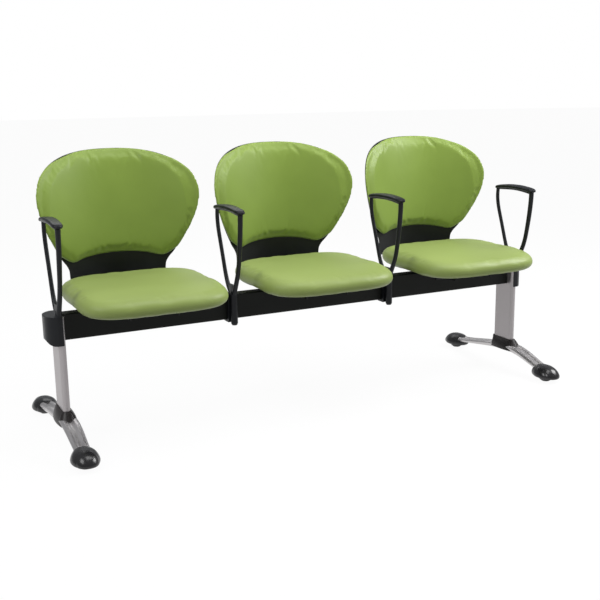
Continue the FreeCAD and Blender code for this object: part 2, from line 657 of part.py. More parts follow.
def end_cover_shape():
    """Moulded cover over the column's head, round its front, outside and rear, hollow for the bolt heads."""
    low = cover_foot
    shape = cover_solid(0)
    column = slot_prism(sheet.column_width + 2 * gap, sheet.column_depth + 2 * gap, low - 1, column_top)
    shape = shape.cut(column)
    face = sheet.column_width / 2 + gap
    outside = box(face, sheet.cover_outer, -sheet.column_depth, sheet.column_depth, low, cover_top)
    shape = shape.cut(cover_solid(sheet.cover_side).common(outside))
    inner_side = box(-sheet.cover_outer, 0, -sheet.column_depth / 2 + 14, sheet.column_depth, low - 1,
                     column_top)
    shape = shape.cut(inner_side)
    stud = V(stud_x - sheet.leg_x, stud_y - axis_y, column_top - 1)
    return shape.cut(cylinder(sheet.arm_stud / 2 + gap, sheet.cover_roof + 2, stud))


# Arms: loop frame, pad, clamp block

def arm_frame_shape(inner):
    """Loop arm: a bar along its top, a front upright, a thinner rear rod and a web over the post.

    An inner arm's post runs down in front of the beam, and an end arm's post stands on the end cover.
    """
    top = arm_top
    front = sheet.arm_front
    rear = sheet.arm_rear
    crotch = arm_crotch
    half_post = sheet.arm_width / 2
    half_deep = sheet.post_depth / 2
    rise = top - crotch
    half_rod = sheet.rod / 2
    neck = crotch - sheet.post_depth * 1.2
    bar = [(rear, top - 4, half_rod, 5), (rear * 0.5, top - 1, 8, 5.5), (0, top - 1, 8, 5.5),
           (-front * 0.55, top - 4, 8, 6), (-front * 1.06, top - 9, 7, 6)]
    upright = [(-front * 1.03, top - 7, 8, 9), (-front, top - rise * 0.18, 7.5, 9),
               (-front * 0.91, top - rise * 0.38, 7.5, 8.5), (-front * 0.77, top - rise * 0.6, 7, 8),
               (-front * 0.57, top - rise * 0.81, 7, 8), (-front * 0.25, crotch + 1, 7.5, 8),
               (-front * 0.03, neck, 8, 8.5)]
    rod = [(rear - 2, top - 4, half_rod, half_rod), (rear * 0.86, top - rise * 0.42, half_rod, half_rod),
           (rear * 0.6, top - rise * 0.77, half_rod, half_rod),
           (rear * 0.35, crotch - 3, half_rod + 1, half_rod + 1), (2, neck, half_rod + 3, half_rod + 3)]
    shape = member(upright).fuse(member(bar)).fuse(member(rod))
    levels = [(neck + 12, 2), (neck + 2, 0), (post_foot + 6, 0), (post_foot, 3)] if inner else [
        (neck + 12, 2), (neck + 2, 0), (cover_top, 0)]
    post = [oval(V(0, 0, z), X_AXIS, Y_AXIS, half_post - less, half_deep - less) for z, less in levels]
    shape = shape.fuse(loft(post, ruled=True))
    web_top = crotch + 4
    web = loft([oval(V(0, 2, neck - 4), X_AXIS, Y_AXIS, half_post - 3, half_deep - 2),
                oval(V(0, 10, crotch - 14), X_AXIS, Y_AXIS, half_post - 4, half_deep + 8),
                oval(V(0, 12, web_top), X_AXIS, Y_AXIS, half_post - 6, half_deep + 10)])
    shape = shape.fuse(web)
    wide = sheet.arm_width
    if inner:
        clamp_top = beam_top + sheet.clamp_lip + gap
        shape = shape.cut(box(-wide, wide, half_deep, rear, post_foot - 10, clamp_top))
        for z in arm_bolts_z:
            shape = shape.cut(cylinder(sheet.arm_bolt / 2 + gap, half_deep + 5, V(0, -5, z), Y_AXIS))
    else:
        shape = shape.cut(box(-wide, wide, -front, rear, cover_top - wide, cover_top))
        base = V(-sheet.arm_stud_inset, sheet.arm_stud_rear, cover_top)
        shape = shape.cut(cylinder(sheet.arm_stud / 2 + gap, sheet.arm_stud_up + 1, base))
    return shape


def arm_pad_shape(frame):
    """Thin moulded pad, arched along its length, seated over the top of the loop."""
    half_long = sheet.arm_pad_length / 2
    half_wide = sheet.arm_pad_width / 2
    thick = sheet.arm_pad_thick
    middle = sheet.arm_rear + 7 - half_long
    sections = []
    for share in (-1, -0.93, -0.7, -0.35, 0, 0.35, 0.7, 0.93, 1):
        fade = (1 - abs(share) ** 6) ** 0.5
        z = arm_top + 7 - 9 * share ** 2
        wide = half_wide * (0.35 + 0.65 * fade)
        high = thick / 2 * (0.4 + 0.6 * fade)
        sections.append(oval(V(0, middle + half_long * share, z), X_AXIS, Z_AXIS, wide, high))
    return loft(sections).cut(frame)


def arm_clamp_shape():
    """Block between the beam and an inner arm's post, with lips over and under the beam."""
    half = sheet.clamp_width / 2
    lip = sheet.clamp_lip
    top = beam_top
    foot = top - sheet.beam_height
    reach = beam_front + 22
    shape = box(-half, half, post_rear, beam_front - gap, foot - lip, top + lip)
    shape = shape.fuse(box(-half, half, beam_front - gap - 1, reach, top + gap, top + lip))
    shape = shape.fuse(box(-half, half, beam_front - gap - 1, reach, foot - lip, foot - gap))
    shape = shape.removeSplitter()
    along = [edge for edge in shape.Edges if edge.BoundBox.XLength > 2 * half - 1
             and (edge.BoundBox.ZMin > top + lip - 0.1 or edge.BoundBox.ZMax < foot - lip + 0.1)]
    shape = shape.makeFillet(lip * 0.6, along)
    for z in arm_bolts_z:
        shape = shape.cut(cylinder(sheet.arm_bolt / 2 + gap, beam_front - post_rear + 2,
                                   V(0, post_rear - 1, z), Y_AXIS))
    return shape


def build_arm(arm):
    frame = arm_frame_shape(arm in INNER_ARMS)
    arm_pad = arm_pad_shape(frame)
    if arm == 1:
        frame = mirrored(frame, "left")
    feature("arm_frame_%d" % arm, frame, ARM_X[arm], POST_Y)
    feature("arm_pad_%d" % arm, arm_pad, ARM_X[arm], POST_Y)
    if arm in INNER_ARMS:
        feature("arm_clamp_%d" % arm, arm_clamp_shape(), ARM_X[arm])


# Seats: bracket, pan and cushion

def build_seat_bracket(seat):
    """Folded sheet over the beam: a flat top, a lip down each side of the beam, and side flanges."""
    body = new_body("seat_bracket_%d" % seat)
    top = new_sketch(body, "XY_Plane")
    half = "Sizes.bracket_width / 2"
    rectangle(top, "-" + half, half, "Sizes.bracket_front", "Sizes.bracket_rear")
    pad(body, top, "Sizes.bracket_sheet")
    doc.recompute()
    for low, high in (("(%s) - Sizes.fit_gap - Sizes.bracket_sheet" % BEAM_FRONT, BEAM_FRONT + " - Sizes.fit_gap"),
                      (BEAM_REAR + " + Sizes.fit_gap", "(%s) + Sizes.fit_gap + Sizes.bracket_sheet" % BEAM_REAR)):
        lip = new_sketch(body, "XY_Plane")
        rectangle(lip, "-" + half, half, low, high)
        fold = pad(body, lip, "Sizes.bracket_lip")
        fold.Reversed = True
        doc.recompute()
    for way in (-1, 1):
        for start, stop in (("Sizes.bracket_front", BEAM_FRONT + " - Sizes.fit_gap"),
                            (BEAM_REAR + " + Sizes.fit_gap", "Sizes.bracket_rear")):
            flange = new_sketch(body, "XY_Plane")
            outer = "%d * Sizes.bracket_width / 2" % way
            inner = "%d * (Sizes.bracket_width / 2 - Sizes.bracket_sheet)" % way
            west, east = (outer, inner) if way < 0 else (inner, outer)
            rectangle(flange, west, east, start, stop)
            fold = pad(body, flange, "Sizes.bracket_flange")
            fold.Reversed = True
            doc.recompute()
    holes = new_sketch(body, "XZ_Plane")
    for way in (-1, 1):
        circle(holes, "%d * Sizes.bracket_bolt_pitch / 2" % way, "-Sizes.bracket_lip / 2 - Sizes.fit_gap",
               "Sizes.bracket_bolt + 2 * Sizes.fit_gap")
    cut_through(body, holes)
    doc.recompute()
    screws = new_sketch(body, "XY_Plane")
    for x, y in pan_screw_places():
        circle(screws, x, y, "Sizes.pan_screw + 2 * Sizes.fit_gap")
    cut_through(body, screws)
    return place(body, x=SEAT_X[seat], z="Sizes.beam_top + Sizes.fit_gap")


def pan_screw_places():
    rows = ("Sizes.bracket_front + 25", "Sizes.bracket_rear - 25")
    return [("%d * Sizes.pan_screw_x" % way, y) for y in rows for way in (-1, 1)]


def seat_line(y, front, rear):
    """Height above the beam at y of a line that rises evenly from front to rear under the cushion."""
    share = (y - sheet.seat_front) / (sheet.seat_rear - sheet.seat_front)
    return beam_top + front + (rear - front) * share


def seat_half(share):
    """Half width at a share of the depth from -1 to 1: a superellipse, drawn in between the corners."""
    power = sheet.seat_square
    rounded = (1 - abs(share) ** power) ** (1 / power)
    return sheet.seat_width / 2 * rounded - sheet.seat_waist * math.cos(math.pi * share / 2) ** 2


def seat_cushion_shape(pan_block):
    """Crowned cushion lofted front to rear: a foot hollowed for the pan, full sides and a crown."""
    middle = (sheet.seat_front + sheet.seat_rear) / 2
    half_deep = (sheet.seat_rear - sheet.seat_front) / 2
    sections = []
    for degrees in (-80, -66, -48, -26, 0, 26, 48, 66, 80):
        share = math.sin(math.radians(degrees))
        y = middle + half_deep * share
        half = seat_half(share)
        foot = seat_line(y, sheet.seat_foot_front, sheet.seat_foot_rear)
        fall = sheet.seat_fall * max(0, -share - 0.25) ** 2 / 0.5625
        full = (1 - abs(share) ** 5) ** 0.5
        top = foot + (seat_top - fall - foot) * full
        crown = sheet.seat_crown * full
        edge = min((top - foot) * 0.42, half * 0.3)
        shoulder = top - crown
        corners = [V(-half + edge, y, foot), V(half - edge, y, foot),
                   V(half - edge, y, shoulder), V(-half + edge, y, shoulder)]
        middle_z = foot + (shoulder - foot) * 0.45
        middles = [None, V(half, y, middle_z), V(0, y, top), V(-half, y, middle_z)]
        sections.append(arc_wire(corners, middles))
    return loft(sections).cut(pan_block)


def pan_section(y, inset, drop):
    """Section of the pan at y: flat at the bottom, with sides that swell up to the cushion."""
    middle = (sheet.seat_front + sheet.seat_rear) / 2
    half_deep = (sheet.seat_rear - sheet.seat_front) / 2
    half = seat_half((y - middle) / half_deep) - inset
    flat = min(sheet.pan_flat / 2, half * 0.6)
    top = seat_line(y, sheet.pan_front, sheet.pan_rear)
    foot = beam_top + 2 * gap + sheet.bracket_sheet + drop
    swell = (half + flat) / 2 + (half - flat) * 0.14
    level = foot + (top - foot) * 0.38
    corners = [V(-flat, y, foot), V(flat, y, foot), V(half, y, top), V(-half, y, top)]
    middles = [None, V(swell, y, level), None, V(-swell, y, level)]
    return arc_wire(corners, middles)


def pan_block_shape():
    """The seat pan as a full block, which also hollows the cushion's foot."""
    front = sheet.seat_front + 70
    rear = sheet.seat_rear - 26
    steps = [front + (rear - front) * share for share in (0, 0.3, 0.6, 0.85, 1)]
    return loft([pan_section(y, sheet.pan_inset, 0) for y in steps])


def seat_pan_shape(outer):
    """Moulded tray in the cushion's foot, seated on the bracket, with bosses for its screws."""
    front = sheet.seat_front + 70
    rear = sheet.seat_rear - 26
    wall = sheet.pan_wall
    inner_steps = [front + 30 + (rear - wall - front - 30) * share for share in (0, 0.3, 0.6, 0.85, 1)]
    inner = loft([pan_section(y, sheet.pan_inset + wall, wall) for y in inner_steps])
    shape = outer.cut(inner)
    floor = beam_top + 2 * gap + sheet.bracket_sheet
    for x, y in pan_screw_places():
        base = V(value(x), value(y), floor + wall / 2)
        shape = shape.fuse(cylinder(sheet.pan_boss / 2, sheet.pan_boss_rise + wall / 2, base))
    for x, y in pan_screw_places():
        base = V(value(x), value(y), floor)
        shape = shape.cut(cylinder(sheet.pan_screw / 2 + gap, sheet.pan_screw_grip + 1, base))
    return shape


def build_seat(seat):
    build_seat_bracket(seat)
    pan_block = pan_block_shape()
    feature("seat_pan_%d" % seat, seat_pan_shape(pan_block), SEAT_X[seat])
    feature("seat_cushion_%d" % seat, seat_cushion_shape(pan_block), SEAT_X[seat])


# Backs: pad, moulded shell with its neck, and the bent flat bar that carries them

def back_point(x, z, depth):
    """Point of the back at x and z, depth straight behind its front surface.

    The front surface leans and bows with z and wraps forward with the square of x.
    """
    up = z - lumbar_z
    y = sheet.back_y + sheet.back_lean * up + sheet.back_bow * up ** 2 - sheet.back_wrap * x ** 2
    return V(x, y + depth, z)


def back_half(z):
    """Half width of the back at z: a power curve below its widest place and a superellipse above."""
    if z < back_widest_z:
        share = (back_widest_z - z) / (back_widest_z - back_foot)
        return sheet.back_widest - (sheet.back_widest - sheet.back_foot_half) * share ** 1.6
    share = (z - back_widest_z) / (back_top - back_widest_z)
    return sheet.back_widest * (1 - share ** 2.5) ** 0.4


def back_section(half, z, front, rear):
    """Level section of the back between two pairs of depths, each in the middle and at the sides.

    Its ends are arcs, set in by a quarter of the thickness there so that they follow the wrap of the back.
    """
    inner = half - (rear[1] - front[1]) * 0.24
    corners = [back_point(-inner, z, front[1]), back_point(inner, z, front[1]),
               back_point(inner, z, rear[1]), back_point(-inner, z, rear[1])]
    side_y = (corners[0].y + corners[3].y) / 2
    middles = [back_point(0, z, front[0]), V(half, side_y, z), back_point(0, z, rear[0]), V(-half, side_y, z)]
    return arc_wire(corners, middles)


def pad_depth(z):
    """Depth of the pad's rear in its middle and at its sides: it thins toward the rim and the top."""
    share = max(0, z - back_widest_z) / (back_top - back_widest_z)
    return sheet.pad_rim + (sheet.pad_thick - sheet.pad_rim) * (1 - share ** 3), sheet.pad_rim


def shell_section(half, z):
    """Level section of the shell behind the pad."""
    near = [depth + sheet.pad_gap for depth in pad_depth(z)]
    return back_section(half, z, near, [depth + sheet.shell_thick for depth in near])


def back_levels():
    """Heights of the level sections that the pad and its shell share, closer together toward the top."""
    rise = back_widest_z - back_foot
    lower = [back_foot + 22, back_foot + rise * 0.35, back_foot + rise * 0.7]
    rise = back_top - back_widest_z
    upper = [back_widest_z + rise * math.sin(math.radians(turn)) for turn in (0, 29, 54, 74, 84, 88.6)]
    return lower + upper


def back_pad_shape():
    """Padded front of the back: crowned to its rim, with an arch in its lower edge."""
    foot = back_foot
    crown = sheet.pad_rim * 0.5
    level = (0, 0)
    sections = [back_section(sheet.back_foot_half - 24, foot - 2, (crown, crown), pad_depth(foot)),
                back_section(sheet.back_foot_half - 6, foot + 5, (crown / 2, crown / 2), pad_depth(foot))]
    levels = back_levels()
    for z in levels[:-2]:
        sections.append(back_section(back_half(z), z, level, pad_depth(z)))
    for z, recess in ((levels[-2], crown / 2), (levels[-1], crown)):
        sections.append(back_section(back_half(z), z, (recess, recess), pad_depth(z)))
    shape = loft(sections)
    half = sheet.arch_half
    rise = sheet.arch_rise
    radius = (half ** 2 + rise ** 2) / (2 * rise)
    arch = cylinder(radius, 2 * sheet.support_face, V(0, 0, foot - 2 + rise - radius), Y_AXIS)
    return shape.cut(arch)


def back_shell_shape():
    """Moulded carrier behind the pad, with a thin rim round it, a neck down to the seat and two bosses."""
    rim = sheet.shell_rim
    foot = back_foot
    neck = sheet.neck_half
    sections = [shell_section(neck - 8, neck_foot), shell_section(neck, neck_foot + 14),
                shell_section(neck + 2, foot - 26), shell_section(neck + 16, foot - 4)]
    for z in back_levels():
        sections.append(shell_section(back_half(z) + rim, z))
    shape = loft(sections)
    near = sheet.pad_thick + sheet.pad_gap
    for z in back_bolts_z():
        start = back_point(0, z, near + sheet.shell_thick / 2)
        boss = cylinder(sheet.shell_boss / 2, sheet.support_face - start.y, start, Y_AXIS)
        shape = shape.fuse(boss)
    for z in back_bolts_z():
        start = back_point(0, z, near + 1.5)
        shape = shape.cut(cylinder(sheet.back_bolt / 2 + gap, 60, start, Y_AXIS))
    return shape


def back_bolts_z():
    low = beam_top + sheet.back_bolt_rise
    return [low, low + sheet.back_bolt_pitch]


def back_support_shape():
    """Flat bar from under the bracket to the rear, turned up behind the back shell."""
    thick = sheet.support_thick
    top = beam_top + gap
    outer = sheet.support_bend + thick
    start = beam_rear + 2 * gap + sheet.bracket_sheet + sheet.support_start
    rear = sheet.support_face + thick
    low = top - thick
    quarter = math.sqrt(0.5)
    centre_y = rear - outer
    centre_z = low + outer
    inner = sheet.support_bend
    corners = [V(0, start, low), V(0, centre_y, low), V(0, rear, centre_z), V(0, rear, support_top),
               V(0, rear - thick, support_top), V(0, rear - thick, centre_z), V(0, centre_y, top),
               V(0, start, top)]
    middles = [None, V(0, centre_y + outer * quarter, centre_z - outer * quarter), None, None, None,
               V(0, centre_y + inner * quarter, centre_z - inner * quarter), None, None]
    half = sheet.support_width / 2
    shape = Part.Face(arc_wire(corners, middles)).extrude(V(2 * half, 0, 0))
    shape.translate(V(-half, 0, 0))
    ends = [edge for edge in shape.Edges if edge.BoundBox.YLength > thick - 0.1
            and edge.BoundBox.ZMin > support_top - 0.1]
    shape = shape.makeFillet(half * 0.5, ends)
    for z in back_bolts_z():
        shape = shape.cut(cylinder(sheet.back_bolt / 2 + gap, thick + 2, V(0, rear - thick - 1, z), Y_AXIS))
    return shape


def build_back(seat):
    feature("back_support_%d" % seat, back_support_shape(), SEAT_X[seat])
    feature("back_shell_%d" % seat, back_shell_shape(), SEAT_X[seat])
    feature("back_pad_%d" % seat, back_pad_shape(), SEAT_X[seat])


# Fasteners, each kind one group of separate solids

def nut(face):
    """Hexagon nut on a bracket bolt, its rear face at face."""
    radius = sheet.bracket_nut / math.sqrt(3)
    corners = [face + V(radius * math.cos(math.radians(turn)), 0, radius * math.sin(math.radians(turn)))
               for turn in range(0, 360, 60)]
    thick = sheet.bracket_nut_thick
    hexagon = Part.Face(Part.makePolygon(corners + [corners[0]])).extrude(V(0, -thick, 0))
    return hexagon.cut(cylinder(sheet.bracket_bolt / 2 + sheet.stem_gap, thick, face, V(0, -1, 0)))


def build_fasteners():
    leg_bolts = []
    for sign in SIDES.values():
        for z in leg_bolts_z:
            seat = V(sign * (sheet.leg_x + sheet.column_width / 2), axis_y, z)
            length = sheet.column_width + gap + sheet.end_plate
            leg_bolts.append(bolt(sheet.leg_bolt, length, seat, V(-sign, 0, 0)))
    feature("leg_bolts", Part.makeCompound(leg_bolts))
    base_bolts = []
    for sign in SIDES.values():
        seat = V(sign * sheet.leg_x, axis_y, base_bolt_seat_z())
        length = sheet.base_bolt_seat + sheet.base_bolt_grip
        base_bolts.append(bolt(sheet.base_bolt, length, seat, Z_AXIS))
    feature("base_bolts", Part.makeCompound(base_bolts))
    arm_bolts = []
    for arm in INNER_ARMS:
        for z in arm_bolts_z:
            seat = V(value(ARM_X[arm]), beam_rear, z)
            arm_bolts.append(bolt(sheet.arm_bolt, beam_rear - post_y + 2, seat, V(0, -1, 0)))
    feature("arm_bolts", Part.makeCompound(arm_bolts))
    studs = []
    for sign in SIDES.values():
        length = sheet.arm_stud_down + sheet.cover_roof + sheet.arm_stud_up
        studs.append(cylinder(sheet.arm_stud / 2, length,
                              V(sign * stud_x, stud_y, column_top - sheet.arm_stud_down)))
    feature("arm_studs", Part.makeCompound(studs))
    bracket_bolts = []
    nuts = []
    for seat in SEATS:
        for way in (-1, 1):
            x = value(SEAT_X[seat]) + way * sheet.bracket_bolt_pitch / 2
            z = beam_top - sheet.bracket_lip / 2
            head = V(x, beam_rear + gap + sheet.bracket_sheet, z)
            grip = sheet.beam_width + 2 * (gap + sheet.bracket_sheet)
            length = grip + sheet.bracket_nut_thick + 2
            bracket_bolts.append(bolt(sheet.bracket_bolt, length, head, V(0, -1, 0)))
            nuts.append(nut(head - V(0, grip, 0)))
    feature("seat_bracket_bolts", Part.makeCompound(bracket_bolts))
    feature("seat_bracket_nuts", Part.makeCompound(nuts))
    pan_screws = []
    for seat in SEATS:
        for x, y in pan_screw_places():
            head = V(value(SEAT_X[seat]) + value(x), value(y), beam_top + gap)
            length = sheet.bracket_sheet + gap + sheet.pan_screw_grip
            pan_screws.append(bolt(sheet.pan_screw, length, head, Z_AXIS))
    feature("seat_pan_screws", Part.makeCompound(pan_screws))
    back_bolts = []
    for seat in SEATS:
        for z in back_bolts_z():
            head = V(value(SEAT_X[seat]), sheet.support_face + sheet.support_thick, z)
            back_bolts.append(bolt(sheet.back_bolt, sheet.support_thick + 9, head, V(0, -1, 0)))
    feature("back_bolts", Part.makeCompound(back_bolts))


def build_model():
    build_beam()
    for side in SIDES:
        build_leg(side)
    for arm in ARMS:
        build_arm(arm)
    for seat in SEATS:
        build_seat(seat)
        build_back(seat)
    build_fasteners()
    doc.recompute()


def check_and_export():
    for item in doc.Objects:
        if "Invalid" in item.State or "Error" in item.State:
            raise RuntimeError("%s is in state %s" % (item.Label, item.State))
    for piece in pieces:
        if piece.Shape.isNull() or not piece.Shape.isValid():
            raise RuntimeError(piece.Label + " has no valid shape")
    os.makedirs("parts", exist_ok=True)
    for piece in pieces:
        piece.Shape.exportStep("parts/%s.step" % piece.Label)


build_model()
check_and_export()
print(len(pieces), "pieces")
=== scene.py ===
import json
import math

import bpy
import numpy as np
from mathutils import Matrix, Vector


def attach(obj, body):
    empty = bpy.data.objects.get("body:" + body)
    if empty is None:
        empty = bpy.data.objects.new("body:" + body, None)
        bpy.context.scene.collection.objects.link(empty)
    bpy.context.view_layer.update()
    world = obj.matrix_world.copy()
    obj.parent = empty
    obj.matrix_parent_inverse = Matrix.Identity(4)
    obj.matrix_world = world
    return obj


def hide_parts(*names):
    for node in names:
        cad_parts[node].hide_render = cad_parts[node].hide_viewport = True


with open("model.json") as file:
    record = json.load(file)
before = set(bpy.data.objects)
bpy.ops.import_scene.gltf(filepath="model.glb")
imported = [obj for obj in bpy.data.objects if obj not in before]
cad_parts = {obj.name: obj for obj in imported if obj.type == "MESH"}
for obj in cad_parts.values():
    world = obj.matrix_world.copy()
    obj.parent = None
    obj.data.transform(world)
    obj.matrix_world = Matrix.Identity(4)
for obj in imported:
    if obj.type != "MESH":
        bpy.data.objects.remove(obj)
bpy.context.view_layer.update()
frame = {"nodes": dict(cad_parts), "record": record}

# Three-seat beam seating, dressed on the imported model. Metres, +Z up, the sitters face -Y.

NODES = frame["nodes"]
SEAT_X = {1: -0.570, 2: 0.0, 3: 0.570}


# Camera, solved from the photograph

CAMERA_PLACE = (-1.3766, -2.7018, 1.0103)
CAMERA_YAW = 0.4638
CAMERA_PITCH = 0.2240
CAMERA_ROLL = -0.0147
CAMERA_LENS = 55.82
CAMERA_SHIFT = (0.00387, 0.00745)


def add_camera():
    ahead = Vector((math.sin(CAMERA_YAW) * math.cos(CAMERA_PITCH),
                    math.cos(CAMERA_YAW) * math.cos(CAMERA_PITCH), -math.sin(CAMERA_PITCH)))
    level = Vector((math.cos(CAMERA_YAW), -math.sin(CAMERA_YAW), 0))
    upward = level.cross(ahead)
    right = level * math.cos(CAMERA_ROLL) + upward * math.sin(CAMERA_ROLL)
    top = upward * math.cos(CAMERA_ROLL) - level * math.sin(CAMERA_ROLL)
    data = bpy.data.cameras.new("Camera")
    data.sensor_width = 36
    data.lens = CAMERA_LENS
    data.shift_x, data.shift_y = CAMERA_SHIFT
    data.clip_end = 50
    camera = bpy.data.objects.new("Camera", data)
    turn = Matrix((right, top, -ahead)).transposed().to_4x4()
    camera.matrix_world = Matrix.Translation(CAMERA_PLACE) @ turn
    bpy.context.scene.collection.objects.link(camera)
    bpy.context.scene.camera = camera


# Mesh helpers

def new_piece(name, vertices, faces, material, smooth=True):
    mesh = bpy.data.meshes.new(name)
    mesh.from_pydata(vertices.tolist(), [], faces)
    mesh.materials.append(material)
    mesh.polygons.foreach_set("use_smooth", np.full(len(mesh.polygons), smooth))
    mesh.update()
    piece = bpy.data.objects.new(name, mesh)
    bpy.context.scene.collection.objects.link(piece)
    return piece


def ring_faces(rings, around):
    """Quads between neighbouring rings of a closed grid, and fans to the poles that follow the rings."""
    index = np.arange(rings * around).reshape(rings, around)
    following = np.roll(index, -1, axis=1)
    quads = np.stack([index[:-1], following[:-1], following[1:], index[1:]], axis=-1).reshape(-1, 4)
    first, last = rings * around, rings * around + 1
    start = np.stack([np.full(around, first), following[0], index[0]], axis=-1)
    end = np.stack([np.full(around, last), index[-1], following[-1]], axis=-1)
    return quads.tolist() + start.tolist() + end.tolist()


def coordinates(mesh):
    flat = np.empty(len(mesh.vertices) * 3)
    mesh.vertices.foreach_get("co", flat)
    return flat.reshape(-1, 3)


def set_coordinates(mesh, points):
    mesh.vertices.foreach_set("co", points.ravel())
    mesh.update()


def bake_modifiers(piece):
    """Give the piece the mesh that its modifiers make, and drop them."""
    depsgraph = bpy.context.evaluated_depsgraph_get()
    made = bpy.data.meshes.new_from_object(piece.evaluated_get(depsgraph))
    piece.modifiers.clear()
    piece.data = made
    made.polygons.foreach_set("use_smooth", np.ones(len(made.polygons), dtype=bool))


def remesh(piece, voxel):
    modifier = piece.modifiers.new("Remesh", "REMESH")
    modifier.mode = "VOXEL"
    modifier.voxel_size = voxel
    bake_modifiers(piece)


def relax(piece, turns, factor=0.5):
    modifier = piece.modifiers.new("Smooth", "SMOOTH")
    modifier.iterations = turns
    modifier.factor = factor
    bake_modifiers(piece)


def inflate(piece, pressure, cap):
    """Twenty frames of cloth under pressure without weight, each point moving no more than cap."""
    scene = bpy.context.scene
    before = coordinates(piece.data)
    modifier = piece.modifiers.new("Cloth", "CLOTH")
    modifier.settings.use_pressure = True
    modifier.settings.uniform_pressure_force = pressure
    modifier.settings.effector_weights.gravity = 0
    modifier.settings.tension_stiffness = 25
    modifier.settings.compression_stiffness = 25
    modifier.settings.bending_stiffness = 2
    for number in range(1, 21):
        scene.frame_set(number)
    depsgraph = bpy.context.evaluated_depsgraph_get()
    after = coordinates(piece.evaluated_get(depsgraph).data)
    piece.modifiers.clear()
    scene.frame_set(1)
    move = after - before
    length = np.linalg.norm(move, axis=1, keepdims=True)
    move *= np.minimum(1, cap / np.maximum(length, 1e-9))
    set_coordinates(piece.data, before + move)


def copies(pattern, names, offsets, nodes):
    """A finished pattern repeated at each offset along X, each copy standing for its CAD node."""
    points = coordinates(pattern.data)
    for name, offset, node in zip(names, offsets, nodes):
        mesh = pattern.data.copy()
        set_coordinates(mesh, points + np.array([offset, 0, 0]))
        piece = bpy.data.objects.new(name, mesh)
        bpy.context.scene.collection.objects.link(piece)
        for modifier in pattern.modifiers:
            finish = piece.modifiers.new("Subdivision", "SUBSURF")
            finish.levels = modifier.levels
            finish.render_levels = modifier.render_levels
        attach(piece, "bench")
        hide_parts(node)
    bpy.data.objects.remove(pattern)


def add_subdivision(piece, levels=1):
    modifier = piece.modifiers.new("Subdivision", "SUBSURF")
    modifier.levels = levels
    modifier.render_levels = levels


# Node groups and materials

def link(tree, source, output, target, socket):
    tree.links.new(source.outputs[output], target.inputs[socket])


def new_group(name, inputs, outputs):
    group = bpy.data.node_groups.new(name, "ShaderNodeTree")
    for label, kind, value in inputs:
        socket = group.interface.new_socket(label, in_out="INPUT", socket_type=kind)
        socket.default_value = value
    for label, kind in outputs:
        group.interface.new_socket(label, in_out="OUTPUT", socket_type=kind)
    return group, group.nodes.new("NodeGroupInput"), group.nodes.new("NodeGroupOutput")


def math_node(tree, operation, first=0.0, second=0.0, clamp=False):
    node = tree.nodes.new("ShaderNodeMath")
    node.operation = operation
    node.inputs[0].default_value = first
    node.inputs[1].default_value = second
    node.use_clamp = clamp
    return node


def build_mottle_group():
    """Two colours mixed by broad clouds of noise and a finer fleck, with a matching roughness."""
    group, given, result = new_group("Mottle", [
        ("Light", "NodeSocketColor", (1, 1, 1, 1)), ("Dark", "NodeSocketColor", (0, 0, 0, 1)),
        ("Cloud Scale", "NodeSocketFloat", 5.0), ("Fleck Scale", "NodeSocketFloat", 300.0),
        ("Fleck Share", "NodeSocketFloat", 0.15), ("Rough Low", "NodeSocketFloat", 0.4),
        ("Rough High", "NodeSocketFloat", 0.5)],
        [("Color", "NodeSocketColor"), ("Roughness", "NodeSocketFloat"), ("Cloud", "NodeSocketFloat")])
    place = group.nodes.new("ShaderNodeTexCoord")
    cloud = group.nodes.new("ShaderNodeTexNoise")
    cloud.inputs["Detail"].default_value = 3
    link(group, place, "Object", cloud, "Vector")
    link(group, given, "Cloud Scale", cloud, "Scale")
    fleck = group.nodes.new("ShaderNodeTexNoise")
    fleck.inputs["Detail"].default_value = 2
    link(group, place, "Object", fleck, "Vector")
    link(group, given, "Fleck Scale", fleck, "Scale")
    spread = group.nodes.new("ShaderNodeMapRange")
    spread.inputs["From Min"].default_value = 0.32
    spread.inputs["From Max"].default_value = 0.68
    link(group, cloud, "Fac", spread, "Value")
    blend = group.nodes.new("ShaderNodeMix")
    link(group, given, "Fleck Share", blend, 0)
    link(group, spread, "Result", blend, 2)
    link(group, fleck, "Fac", blend, 3)
    colour = group.nodes.new("ShaderNodeMix")
    colour.data_type = "RGBA"
    link(group, blend, 0, colour, 0)
    link(group, given, "Dark", colour, 6)
    link(group, given, "Light", colour, 7)
    link(group, colour, 2, result, "Color")
    rough = group.nodes.new("ShaderNodeMapRange")
    link(group, blend, 0, rough, "Value")
    link(group, given, "Rough Low", rough, "To Min")
    link(group, given, "Rough High", rough, "To Max")
    link(group, rough, "Result", result, "Roughness")
    link(group, spread, "Result", result, "Cloud")
    return group


def build_grain_group():
    """Moulded or embossed grain: small rounded cells with soft valleys, broken by fine noise."""
    group, given, result = new_group("Grain", [
        ("Cell Scale", "NodeSocketFloat", 700.0), ("Noise Scale", "NodeSocketFloat", 1400.0),
        ("Noise Share", "NodeSocketFloat", 0.35)], [("Height", "NodeSocketFloat")])
    place = group.nodes.new("ShaderNodeTexCoord")
    cells = group.nodes.new("ShaderNodeTexVoronoi")
    cells.feature = "SMOOTH_F1"
    link(group, place, "Object", cells, "Vector")
    link(group, given, "Cell Scale", cells, "Scale")
    noise = group.nodes.new("ShaderNodeTexNoise")
    noise.inputs["Detail"].default_value = 2
    link(group, place, "Object", noise, "Vector")
    link(group, given, "Noise Scale", noise, "Scale")
    blend = group.nodes.new("ShaderNodeMix")
    link(group, given, "Noise Share", blend, 0)
    link(group, cells, "Distance", blend, 2)
    link(group, noise, "Fac", blend, 3)
    link(group, blend, 0, result, "Height")
    return group


